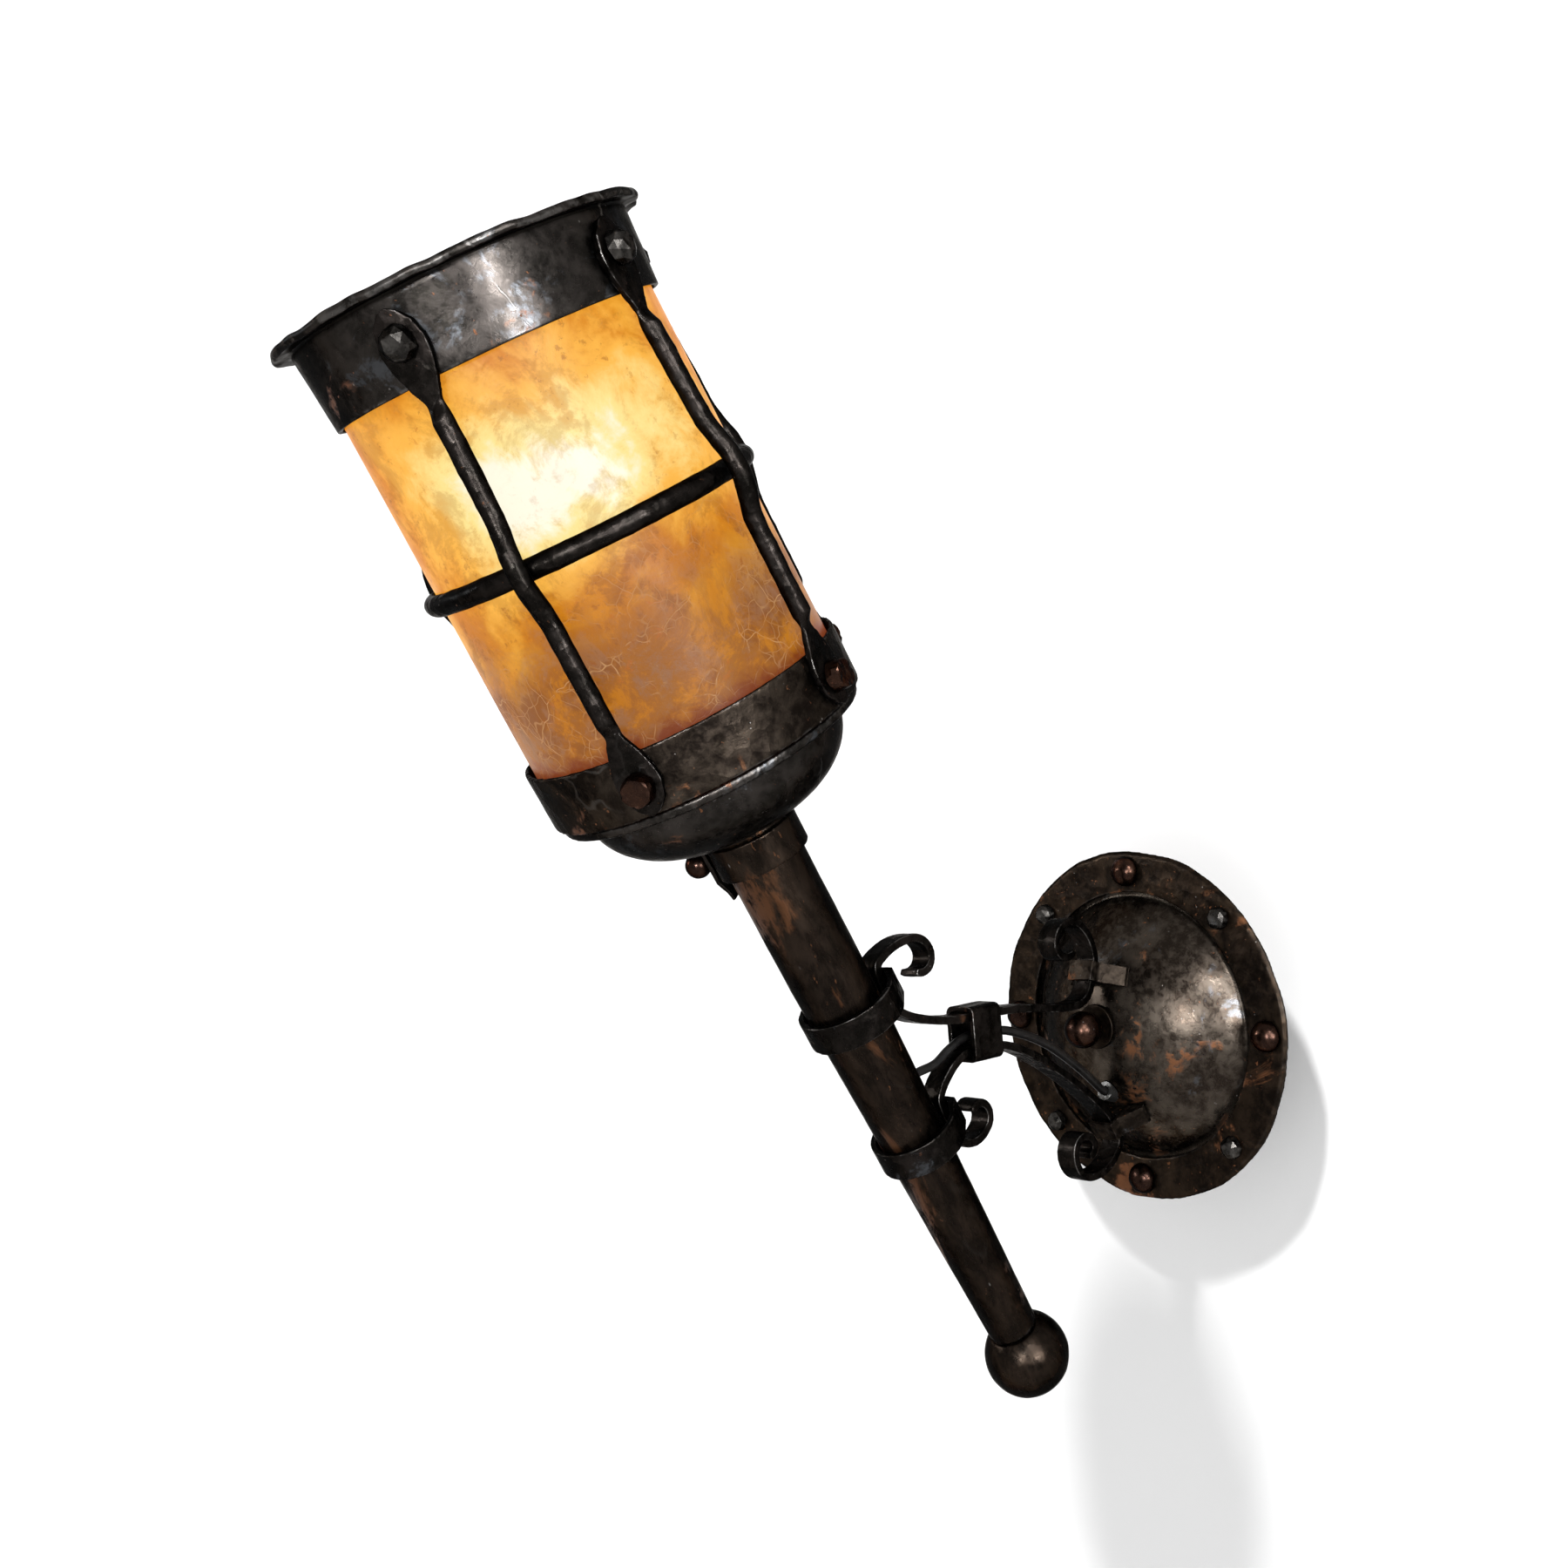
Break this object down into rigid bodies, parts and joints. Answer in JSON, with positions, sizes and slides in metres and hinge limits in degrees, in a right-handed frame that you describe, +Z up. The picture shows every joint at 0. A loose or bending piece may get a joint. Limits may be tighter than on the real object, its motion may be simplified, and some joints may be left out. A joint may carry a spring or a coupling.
{
  "type": "torch sconce",
  "caption": "Forged wall light: a leaning tapered torch with a caged amber mica lantern, clamped to a scroll bracket on a round riveted wall plate.",
  "frame": {"origin": "centre of the wall plate's back face, on the wall", "axes": "+Z up, +Y into the wall (the light stands out toward -Y), +X to the right for someone facing the wall"},
  "size_m": [0.1987, 0.4545, 0.5626],
  "materials": {
    "hammered_iron": "hammered, blackened, with brown rust patches and worn edges",
    "black_iron": "forged black with a soft sheen",
    "rusty_iron": "glossy brown, faceted by the hammer",
    "shaft_iron": "blackened tube with brown streaks and small pale nicks",
    "worn_steel": "worn bright rim",
    "zinc_steel": "zinc plated",
    "green_screw": "green lacquer",
    "block_plastic": "plain moulded",
    "lead_rubber": "black, grooved between its two cores",
    "mica": "amber mica sheet, mottled, lit from inside",
    "brass": "plain spun and turned",
    "porcelain": "glazed",
    "nickel_brass": "nickel plated thread",
    "lamp_glass": "frosted"
  },
  "bodies": {
    "root": {"wall_ring": "hammered_iron", "canopy_dome": "hammered_iron", "plate_rivets_large": "rusty_iron", "plate_rivets_small": "rusty_iron", "knob_washer": "hammered_iron", "mounting_stud": "zinc_steel", "crossbar": "zinc_steel", "stud_nut": "zinc_steel", "earth_screw": "green_screw", "terminal_block": "block_plastic", "lead_bush": "worn_steel", "upper_clip": "hammered_iron", "lower_clip": "hammered_iron", "upper_scroll": "black_iron", "lower_scroll": "black_iron", "bracket_collar": "black_iron", "supply_lead": "lead_rubber", "shaft": "shaft_iron", "ball_finial": "shaft_iron", "upper_clamp": "black_iron", "lower_clamp": "black_iron"},
    "knob": {"canopy_knob": "rusty_iron"},
    "lantern": {"head_collar": "shaft_iron", "screw_tab": "black_iron", "bowl": "hammered_iron", "bottom_band": "hammered_iron", "top_band": "hammered_iron", "mica_shade": "mica", "mid_ring": "black_iron", "bar_front": "black_iron", "bar_right": "black_iron", "bar_rear_right": "black_iron", "bar_rear": "black_iron", "bar_left": "black_iron", "top_band_rivets": "rusty_iron", "bottom_band_rivets": "rusty_iron", "nipple": "brass", "nipple_locknut": "zinc_steel", "stem_tube": "hammered_iron", "lampholder_cap": "brass", "lampholder_shell": "porcelain"},
    "screw": {"clamp_screw": "rusty_iron"},
    "bulb": {"bulb_base": "nickel_brass", "bulb_glass": "lamp_glass"}
  },
  "joints": [
    {"name": "canopy_knob_turn", "type": "hinge", "parent": "root", "child": "knob", "pos_m": [0, 0, 0.004], "axis": [0, 1, 0], "continuous": true},
    {"name": "lantern_turn", "type": "hinge", "parent": "root", "child": "lantern", "pos_m": [0, -0.26655, 0.13037], "axis": [0, -0.4733, 0.8809], "range_deg": [-90, 90]},
    {"name": "clamp_screw_turn", "type": "hinge", "parent": "lantern", "child": "screw", "pos_m": [0, -0.26063, 0.11936], "axis": [-0.866, -0.4404, -0.2367], "continuous": true},
    {"name": "lamp_turn", "type": "hinge", "parent": "lantern", "child": "bulb", "pos_m": [0, -0.32335, 0.23608], "axis": [0, -0.4733, 0.8809], "continuous": true}
  ]
}
